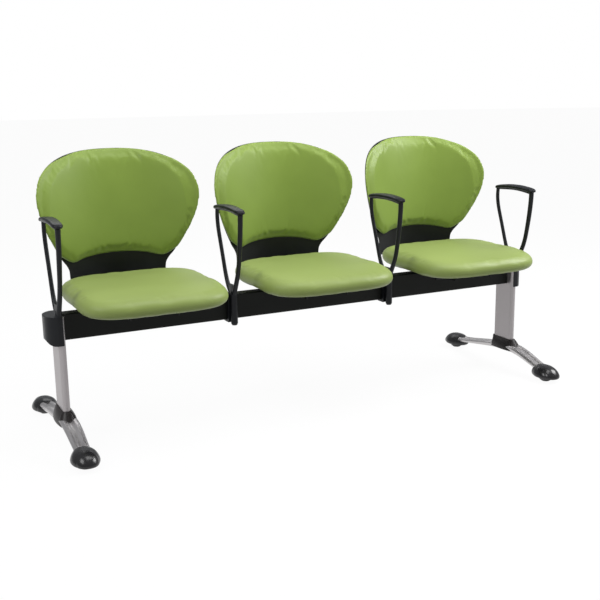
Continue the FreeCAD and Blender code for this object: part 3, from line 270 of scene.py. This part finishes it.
def build_brush_group():
    """Fine scratches: noise drawn out along one axis by the Stretch vector."""
    group, given, result = new_group("Brushing", [
        ("Stretch", "NodeSocketVector", (900, 900, 12))], [("Height", "NodeSocketFloat")])
    place = group.nodes.new("ShaderNodeTexCoord")
    drawn = group.nodes.new("ShaderNodeVectorMath")
    drawn.operation = "MULTIPLY"
    link(group, place, "Object", drawn, 0)
    link(group, given, "Stretch", drawn, 1)
    noise = group.nodes.new("ShaderNodeTexNoise")
    noise.inputs["Scale"].default_value = 1
    noise.inputs["Detail"].default_value = 3
    link(group, drawn, "Vector", noise, "Vector")
    link(group, noise, "Fac", result, "Height")
    return group


def grouped(tree, group, values):
    node = tree.nodes.new("ShaderNodeGroup")
    node.node_tree = group
    for label, value in values.items():
        node.inputs[label].default_value = value
    return node


def new_material(name, light, dark, rough, cloud=5.0, fleck=(300.0, 0.15), metallic=0.0, coat=0.0,
                 specular=0.5, sheen=0.0, height=None, bump=(0.2, 0.0002)):
    """Principled material whose colour and roughness come from Mottle, and its bump from the node height."""
    material = bpy.data.materials.new(name)
    material.use_nodes = True
    tree = material.node_tree
    shader = next(node for node in tree.nodes if node.type == "BSDF_PRINCIPLED")
    shader.inputs["Metallic"].default_value = metallic
    shader.inputs["Coat Weight"].default_value = coat
    shader.inputs["Coat Roughness"].default_value = 0.12
    shader.inputs["Specular IOR Level"].default_value = specular
    shader.inputs["Sheen Weight"].default_value = sheen
    shader.inputs["Sheen Roughness"].default_value = 0.4
    mottle = grouped(tree, MOTTLE, {"Light": (*light, 1), "Dark": (*dark, 1), "Cloud Scale": cloud,
                                    "Fleck Scale": fleck[0], "Fleck Share": fleck[1],
                                    "Rough Low": rough[0], "Rough High": rough[1]})
    link(tree, mottle, "Color", shader, "Base Color")
    link(tree, mottle, "Roughness", shader, "Roughness")
    if height:
        detail = grouped(tree, height[0], height[1])
        bumped = tree.nodes.new("ShaderNodeBump")
        bumped.inputs["Strength"].default_value = bump[0]
        bumped.inputs["Distance"].default_value = bump[1]
        link(tree, detail, "Height", bumped, "Height")
        link(tree, bumped, "Normal", shader, "Normal")
    return material


MOTTLE = build_mottle_group()
GRAIN = build_grain_group()
BRUSHING = build_brush_group()

LEATHER_GRAIN = (GRAIN, {"Cell Scale": 620.0, "Noise Scale": 1500.0, "Noise Share": 0.3})
PLASTIC_GRAIN = (GRAIN, {"Cell Scale": 1500.0, "Noise Scale": 2600.0, "Noise Share": 0.5})
CAST_GRAIN = (GRAIN, {"Cell Scale": 420.0, "Noise Scale": 900.0, "Noise Share": 0.6})

# Painted shade: the backs are the same green fabric as the seats, but their colour is set darker here to stand in
# for the shade on the backs
BACK_COVER_PAINTED_SHADE = new_material("Back cover painted shade", (0.255, 0.365, 0.062), (0.215, 0.312, 0.050), (0.40, 0.52), cloud=4.0,
                          fleck=(700.0, 0.10), specular=0.35, sheen=0.05, height=LEATHER_GRAIN, bump=(0.25, 0.0003))
SEAT_COVER = new_material("Seat cover", (0.298, 0.380, 0.105), (0.260, 0.336, 0.088), (0.40, 0.52), cloud=4.0,
                          fleck=(700.0, 0.10), specular=0.35, sheen=0.05, height=LEATHER_GRAIN, bump=(0.25, 0.0003))
SHELL_PLASTIC = new_material("Shell plastic", (0.014, 0.016, 0.016), (0.009, 0.010, 0.010), (0.34, 0.46),
                             cloud=9.0, specular=0.3, height=PLASTIC_GRAIN, bump=(0.15, 0.0001))
ARM_PLASTIC = new_material("Arm plastic", (0.011, 0.012, 0.015), (0.007, 0.008, 0.010), (0.34, 0.46),
                           cloud=14.0, specular=0.22, height=PLASTIC_GRAIN, bump=(0.15, 0.0001))
CAP_PLASTIC = new_material("Cap plastic", (0.020, 0.019, 0.021), (0.012, 0.012, 0.013), (0.20, 0.34),
                           cloud=18.0, coat=0.15, specular=0.4, height=PLASTIC_GRAIN, bump=(0.10, 0.0001))
COLLAR_PLASTIC = new_material("Collar plastic", (0.028, 0.022, 0.022), (0.018, 0.015, 0.015), (0.36, 0.50),
                              cloud=18.0, specular=0.3, height=PLASTIC_GRAIN, bump=(0.18, 0.0001))
GLIDE_PLASTIC = new_material("Glide plastic", (0.050, 0.050, 0.050), (0.032, 0.032, 0.032), (0.5, 0.65),
                             cloud=30.0, height=PLASTIC_GRAIN, bump=(0.2, 0.0001))
BEAM_PAINT = new_material("Beam paint", (0.008, 0.009, 0.007), (0.005, 0.006, 0.005), (0.38, 0.52), cloud=7.0,
                          fleck=(900.0, 0.3), specular=0.16, height=CAST_GRAIN, bump=(0.12, 0.0001))
BRACKET_PAINT = new_material("Bracket paint", (0.014, 0.014, 0.014), (0.009, 0.009, 0.009), (0.40, 0.55),
                             cloud=12.0, fleck=(900.0, 0.3), specular=0.25, height=CAST_GRAIN, bump=(0.15, 0.0001))
LEG_SATIN = new_material("Leg satin", (0.47, 0.44, 0.445), (0.41, 0.385, 0.39), (0.34, 0.46), cloud=6.0,
                         fleck=(500.0, 0.25), metallic=0.6, height=(BRUSHING, {"Stretch": (900, 900, 14)}),
                         bump=(0.12, 0.0001))
BASE_POLISHED = new_material("Base polished", (0.62, 0.60, 0.60), (0.52, 0.50, 0.505), (0.26, 0.40), cloud=11.0,
                             fleck=(350.0, 0.3), metallic=0.85, height=CAST_GRAIN, bump=(0.08, 0.0001))
PLAIN_STEEL = new_material("Plain steel", (0.45, 0.45, 0.46), (0.34, 0.34, 0.35), (0.35, 0.5), cloud=30.0,
                           metallic=1.0, height=(BRUSHING, {"Stretch": (900, 900, 30)}), bump=(0.1, 0.0001))
ZINC_STEEL = new_material("Zinc steel", (0.55, 0.55, 0.54), (0.42, 0.42, 0.41), (0.28, 0.42), cloud=60.0,
                          metallic=1.0, height=CAST_GRAIN, bump=(0.1, 0.0001))

SLOT_MATERIALS = {
    "beam_paint": BEAM_PAINT, "leg_satin": LEG_SATIN, "base_polished": BASE_POLISHED, "plain_steel": PLAIN_STEEL,
    "collar_plastic": COLLAR_PLASTIC, "cap_plastic": CAP_PLASTIC, "glide_plastic": GLIDE_PLASTIC,
    "arm_plastic": ARM_PLASTIC, "shell_plastic": SHELL_PLASTIC, "seat_cover": SEAT_COVER,
    "back_cover": BACK_COVER_PAINTED_SHADE, "bracket_paint": BRACKET_PAINT, "fastener_steel": ZINC_STEEL}


def dress_nodes():
    """Each CAD node gets the material that its record slot names."""
    for entry in frame["record"]["subparts"]:
        piece = NODES[entry["node"]]
        for slot in piece.material_slots:
            slot.material = SLOT_MATERIALS[entry["material_slot"]]


# Seat cushions

SEAT_HALF = 0.233
SEAT_FRONT = -0.284
SEAT_REAR = 0.158
SEAT_TOP = 0.466
SEAT_MIDDLE = (SEAT_FRONT + SEAT_REAR) / 2
SEAT_DEEP = (SEAT_REAR - SEAT_FRONT) / 2


def seat_foot(x, y):
    """Height of the underside: a rim that rises to the rear, and inside it the hollow that fits the pan."""
    share = (y - SEAT_FRONT) / (SEAT_REAR - SEAT_FRONT)
    rim = 0.406 + 0.008 * share
    across = np.clip(np.abs((y - SEAT_MIDDLE) / SEAT_DEEP), 0, 0.999)
    pan_half = SEAT_HALF * (1 - across ** 3.8) ** (1 / 3.8) - 0.0445
    inside = (np.abs(x) < pan_half) & (y > SEAT_FRONT + 0.069) & (y < SEAT_REAR - 0.025)
    return np.where(inside, 0.4004 + 0.030 * share, rim)


def seat_cushion():
    """Cushion of rings about an upright axis.

    The plan is a superellipse whose sides draw in. The rings run from the foot's middle up a side that is
    widest above its middle, then over the crowned top, which falls toward the front.
    """
    turn = np.linspace(0, 2 * np.pi, 220, endpoint=False)
    power = 2 / 3.9
    plan_x = np.sign(np.cos(turn)) * np.abs(np.cos(turn)) ** power
    plan_y = np.sign(np.sin(turn)) * np.abs(np.sin(turn)) ** power
    waist = 1 - 0.024 * np.cos(np.pi * plan_y / 2) ** 2 * np.abs(plan_x) ** 4
    swing = np.radians(np.linspace(-90, 90, 19))
    side_reach = np.where(swing < 0, 0.845 + 0.153 * np.cos(swing) ** 0.55, 0.875 + 0.123 * np.cos(swing) ** 0.60)
    side_rise = 0.5 + 0.5 * np.sin(swing)
    flat = np.linspace(0.12, 1, 9)
    reach = np.concatenate([flat * 0.81, side_reach, flat[::-1] * 0.84])[:, None]
    rise = np.concatenate([np.zeros(9), side_rise, np.ones(9)])[:, None]
    x = SEAT_HALF * reach * plan_x * waist
    y = SEAT_MIDDLE + SEAT_DEEP * reach * plan_y
    share = reach * plan_y
    fall = 0.010 * np.clip(-share - 0.15, 0, None) ** 2 / 0.72
    crown = 0.008 * np.abs(reach) ** 2.6
    foot = seat_foot(np.full_like(x, SEAT_HALF), y)
    top = SEAT_TOP - fall - crown + 0.003 * share
    z = foot + (top - foot) * rise
    points = np.stack([x, y, z], axis=-1).reshape(-1, 3)
    poles = np.array([[0, SEAT_MIDDLE, 0.410], [0, SEAT_MIDDLE, SEAT_TOP]])
    return new_piece("seat_pattern", np.vstack([points, poles]), ring_faces(len(reach), 220), SEAT_COVER)


def add_seat_cushions():
    cushion = seat_cushion()
    remesh(cushion, 0.005)
    inflate(cushion, 4, 0.006)
    relax(cushion, 3)
    add_subdivision(cushion)
    points = coordinates(cushion.data)
    points[:, 2] = np.maximum(points[:, 2], seat_foot(points[:, 0], points[:, 1]))
    set_coordinates(cushion.data, points)
    copies(cushion, ["seat_padding_%d" % seat for seat in SEAT_X], SEAT_X.values(),
           ["seat_cushion_%d" % seat for seat in SEAT_X])


# Back pads

BACK_WIDEST = 0.258
BACK_WIDEST_Z = 0.700
BACK_FOOT = 0.498
BACK_TOP = 0.850
ARCH_HALF = 0.146
ARCH_RISE = 0.017


def back_front(x, z):
    """Front surface of the back: it leans and bows with the height and wraps forward at the sides."""
    rise = z - 0.702
    return 0.216 + 0.128 * rise + 0.36 * rise ** 2 - 1.57 * x ** 2


def pad_depth(x, z):
    """Thickness of the pad: 30 mm in the middle and 15 mm toward its sides and top."""
    share = np.clip((z - BACK_WIDEST_Z) / (BACK_TOP - BACK_WIDEST_Z), 0, 1)
    middle = 0.015 + 0.015 * (1 - share ** 3)
    across = np.clip(np.abs(x) / BACK_WIDEST, 0, 1)
    return middle + (0.015 - middle) * across ** 2


def pad_outline(count):
    """Closed outline of the pad in x and z, from the middle of its foot round the right side.

    The foot is an arch and a straight piece, the lower side a power curve, the upper part a superellipse.
    """
    arch_radius = (ARCH_HALF ** 2 + ARCH_RISE ** 2) / (2 * ARCH_RISE)
    x = np.linspace(0, 0.154, 60)
    lift = np.sqrt(np.maximum(arch_radius ** 2 - x ** 2, 0)) - arch_radius + ARCH_RISE
    foot = np.stack([x, BACK_FOOT - 0.002 + np.maximum(lift, 0)], axis=-1)
    share = np.linspace(0.87, 0, 60)
    side_z = BACK_WIDEST_Z - (BACK_WIDEST_Z - BACK_FOOT) * share
    side = np.stack([BACK_WIDEST - (BACK_WIDEST - 0.178) * share ** 1.6, side_z], axis=-1)
    turn = np.linspace(0, np.pi / 2, 90)[1:]
    upper = np.stack([BACK_WIDEST * np.cos(turn) ** 0.8,
                      BACK_WIDEST_Z + (BACK_TOP - BACK_WIDEST_Z) * np.sin(turn) ** 0.8], axis=-1)
    half = np.vstack([foot, side, upper])
    left = half[-2:0:-1] * np.array([-1, 1])
    whole = np.vstack([half, left, half[:1]])
    run = np.concatenate([[0], np.cumsum(np.linalg.norm(np.diff(whole, axis=0), axis=1))])
    even = np.linspace(0, run[-1], count, endpoint=False)
    line = np.stack([np.interp(even, run, whole[:, 0]), np.interp(even, run, whole[:, 1])], axis=-1)
    for _ in range(9):
        line = 0.5 * line + 0.25 * (np.roll(line, 1, axis=0) + np.roll(line, -1, axis=0))
    return line


def back_pad():
    """Pad of rings inside its outline: a soft edge, a slightly crowned front and a rear that fits the shell."""
    count = 300
    outline = pad_outline(count)
    centre = np.array([0, 0.672])
    edge = np.radians(np.linspace(-90, 90, 15))
    edge_reach = 0.960 + 0.042 * np.cos(edge) ** 0.8
    edge_share = 0.5 + 0.5 * np.sin(edge)
    flat = np.linspace(0.08, 0.925, 14)
    reach = np.concatenate([flat, edge_reach, flat[::-1]])[:, None, None]
    share = np.concatenate([np.zeros(14), edge_share, np.ones(14)])[:, None]
    plan = centre + (outline[None] - centre) * reach
    x, z = plan[..., 0], plan[..., 1]
    soft = 0.004 * reach[..., 0] ** 10
    depth = soft + (pad_depth(x, z) - 0.0006 - soft) * share
    y = back_front(x, z) + depth
    points = np.stack([x, y, z], axis=-1).reshape(-1, 3)
    middle = back_front(0, centre[1])
    poles = np.array([[0, middle, centre[1]], [0, middle + pad_depth(0, centre[1]) - 0.0006, centre[1]]])
    faces = ring_faces(len(reach), count)
    return new_piece("back_pattern", np.vstack([points, poles]), faces, BACK_COVER_PAINTED_SHADE)


def add_back_pads():
    pad = back_pad()
    remesh(pad, 0.0045)
    inflate(pad, 3, 0.005)
    points = coordinates(pad.data)
    rear = back_front(points[:, 0], points[:, 2]) + pad_depth(points[:, 0], points[:, 2]) - 0.0003
    points[:, 1] = np.minimum(points[:, 1], rear)
    set_coordinates(pad.data, points)
    relax(pad, 4)
    add_subdivision(pad)
    copies(pad, ["back_padding_%d" % seat for seat in SEAT_X], SEAT_X.values(),
           ["back_pad_%d" % seat for seat in SEAT_X])


# Back shells

SHELL_INSET = 0.004
SHELL_THICK = 0.006
NECK_LEVELS = (0.420, 0.428, 0.442, 0.474, 0.492, 0.504, 0.520)
NECK_HALVES = (0.146, 0.153, 0.157, 0.159, 0.168, 0.178, 0.1885)
BOLT_LEVELS = (0.550, 0.626)
SUPPORT_FACE = 0.250


def shell_outline():
    """Heights and half widths of the shell: a neck through given widths, then the pad's outline drawn in."""
    lower = np.linspace(NECK_LEVELS[0], NECK_LEVELS[-1], 40)[:-1]
    neck = np.interp(lower, NECK_LEVELS, NECK_HALVES)
    for _ in range(6):
        neck[1:-1] = 0.5 * neck[1:-1] + 0.25 * (neck[:-2] + neck[2:])
    widest = BACK_WIDEST - SHELL_INSET
    side = np.linspace(NECK_LEVELS[-1], BACK_WIDEST_Z, 50)[:-1]
    share = (BACK_WIDEST_Z - side) / (BACK_WIDEST_Z - BACK_FOOT)
    side_half = widest - 0.080 * share ** 1.6
    turn = np.linspace(0, np.pi / 2, 70)[:-1]
    upper = BACK_WIDEST_Z + (BACK_TOP - SHELL_INSET - BACK_WIDEST_Z) * np.sin(turn) ** 0.8
    upper_half = widest * np.cos(turn) ** 0.8
    return np.concatenate([lower, side, upper]), np.concatenate([neck, side_half, upper_half])


def boss(z):
    """Turned boss about a line along Y: from inside the shell to the bar, with a rounded shoulder."""
    turn = np.linspace(0, 2 * np.pi, 40, endpoint=False)
    radius = np.array([0.0130, 0.0130, 0.0126, 0.0118])[:, None]
    start = back_front(0, z) + pad_depth(0, z) + SHELL_THICK / 2
    depth = np.array([start, SUPPORT_FACE - 0.0016, SUPPORT_FACE - 0.0006, SUPPORT_FACE - 0.0002])[:, None]
    ring = np.ones_like(turn)
    points = np.stack([radius * np.cos(turn), depth * ring, z - radius * np.sin(turn)], axis=-1).reshape(-1, 3)
    poles = np.array([[0, start, z], [0, SUPPORT_FACE - 0.0002, z]])
    return np.vstack([points, poles]), ring_faces(len(radius), len(turn))


def back_shell():
    """Moulded shell of level rings: each runs across its front and back across its rear.

    The thickness dies away at the sides as the root of one minus a high power of the share of the half width.
    """
    level, half = shell_outline()
    across = np.sin(np.pi / 2 * np.linspace(-1, 1, 91))
    share = np.concatenate([across, across[-2:0:-1]])
    side = np.concatenate([-np.ones(91), np.ones(89)])
    swell = np.sqrt(np.maximum(1 - np.abs(share) ** 200, 0))
    x = half[:, None] * share[None]
    z = np.repeat(level[:, None], len(share), axis=1)
    middle = back_front(x, z) + pad_depth(x, z) + 0.0008 + SHELL_THICK / 2
    y = middle + SHELL_THICK / 2 * side * swell
    points = np.stack([x, y, z], axis=-1).reshape(-1, 3)
    first = np.array([0, y[0].mean(), level[0]])
    last = np.array([0, y[-1].mean(), BACK_TOP - SHELL_INSET])
    vertices = [np.vstack([points, first, last])]
    faces = ring_faces(len(level), len(share))
    count = len(vertices[0])
    for bolt_level in BOLT_LEVELS:
        more, more_faces = boss(bolt_level)
        vertices.append(more)
        faces += [[index + count for index in face] for face in more_faces]
        count += len(more)
    return new_piece("shell_pattern", np.vstack(vertices), faces, SHELL_PLASTIC)


def add_back_shells():
    copies(back_shell(), ["back_moulding_%d" % seat for seat in SEAT_X], SEAT_X.values(),
           ["back_shell_%d" % seat for seat in SEAT_X])


# Floor and light

def add_stage():
    mesh = bpy.data.meshes.new("Floor")
    mesh.from_pydata([(-40, -40, 0), (40, -40, 0), (40, 40, 0), (-40, 40, 0)], [], [(0, 1, 2, 3)])
    floor = bpy.data.objects.new("Floor", mesh)
    bpy.context.scene.collection.objects.link(floor)
    material = bpy.data.materials.new("Floor white")
    material.use_nodes = True
    tree = material.node_tree
    tree.nodes.clear()
    diffuse = tree.nodes.new("ShaderNodeBsdfDiffuse")
    tone = tree.nodes.new("ShaderNodeMapRange")
    tone.inputs["To Min"].default_value = 0.34
    tone.inputs["To Max"].default_value = 0.95
    glow = tree.nodes.new("ShaderNodeEmission")
    glow.inputs["Color"].default_value = (1, 1, 1, 1)
    path = tree.nodes.new("ShaderNodeLightPath")
    seen = math_node(tree, "MAXIMUM")
    link(tree, path, "Is Camera Ray", seen, 0)
    link(tree, path, "Is Glossy Ray", seen, 1)
    link(tree, seen, 0, tone, "Value")
    link(tree, tone, "Result", diffuse, "Color")
    share = math_node(tree, "MULTIPLY", second=0.955)
    link(tree, seen, 0, share, 0)
    mix = tree.nodes.new("ShaderNodeMixShader")
    link(tree, share, 0, mix, 0)
    link(tree, diffuse, 0, mix, 1)
    link(tree, glow, 0, mix, 2)
    output = tree.nodes.new("ShaderNodeOutputMaterial")
    link(tree, mix, 0, output, "Surface")
    mesh.materials.append(material)

    world = bpy.data.worlds.new("Studio")
    bpy.context.scene.world = world
    world.use_nodes = True
    tree = world.node_tree
    tree.nodes.clear()
    around = tree.nodes.new("ShaderNodeBackground")
    around.inputs["Color"].default_value = (0.95, 0.97, 1.0, 1)
    around.inputs["Strength"].default_value = 0.34
    white = tree.nodes.new("ShaderNodeBackground")
    white.inputs["Color"].default_value = (1, 1, 1, 1)
    path = tree.nodes.new("ShaderNodeLightPath")
    mix = tree.nodes.new("ShaderNodeMixShader")
    link(tree, path, "Is Camera Ray", mix, 0)
    link(tree, around, 0, mix, 1)
    link(tree, white, 0, mix, 2)
    output = tree.nodes.new("ShaderNodeOutputWorld")
    link(tree, mix, 0, output, "Surface")


def add_lamp(name, place, aim, size, power, colour=(1, 1, 1)):
    data = bpy.data.lights.new(name, "AREA")
    data.shape = "RECTANGLE"
    data.size, data.size_y = size
    data.energy = power
    data.color = colour
    lamp = bpy.data.objects.new(name, data)
    lamp.location = place
    direction = Vector(aim) - Vector(place)
    lamp.rotation_euler = direction.to_track_quat("-Z", "Y").to_euler()
    bpy.context.scene.collection.objects.link(lamp)


def add_lamps():
    add_lamp("Right lamp", (2.5, -0.7, 2.3), (0.4, 0.1, 0.5), (1.5, 1.3), 76)
    add_lamp("Left lamp", (-2.9, -0.8, 2.5), (-0.3, 0.1, 0.5), (1.5, 1.3), 38)
    add_lamp("Top lamp", (0.1, -0.5, 3.1), (0, 0, 0.5), (2.4, 1.2), 40)
    add_lamp("Rear lamp", (0.3, 2.4, 2.4), (0, 0, 0.6), (2.4, 1.2), 14)


bpy.context.scene.view_settings.view_transform = "Standard"
add_camera()
add_stage()
add_lamps()
dress_nodes()
add_seat_cushions()
add_back_pads()
add_back_shells()
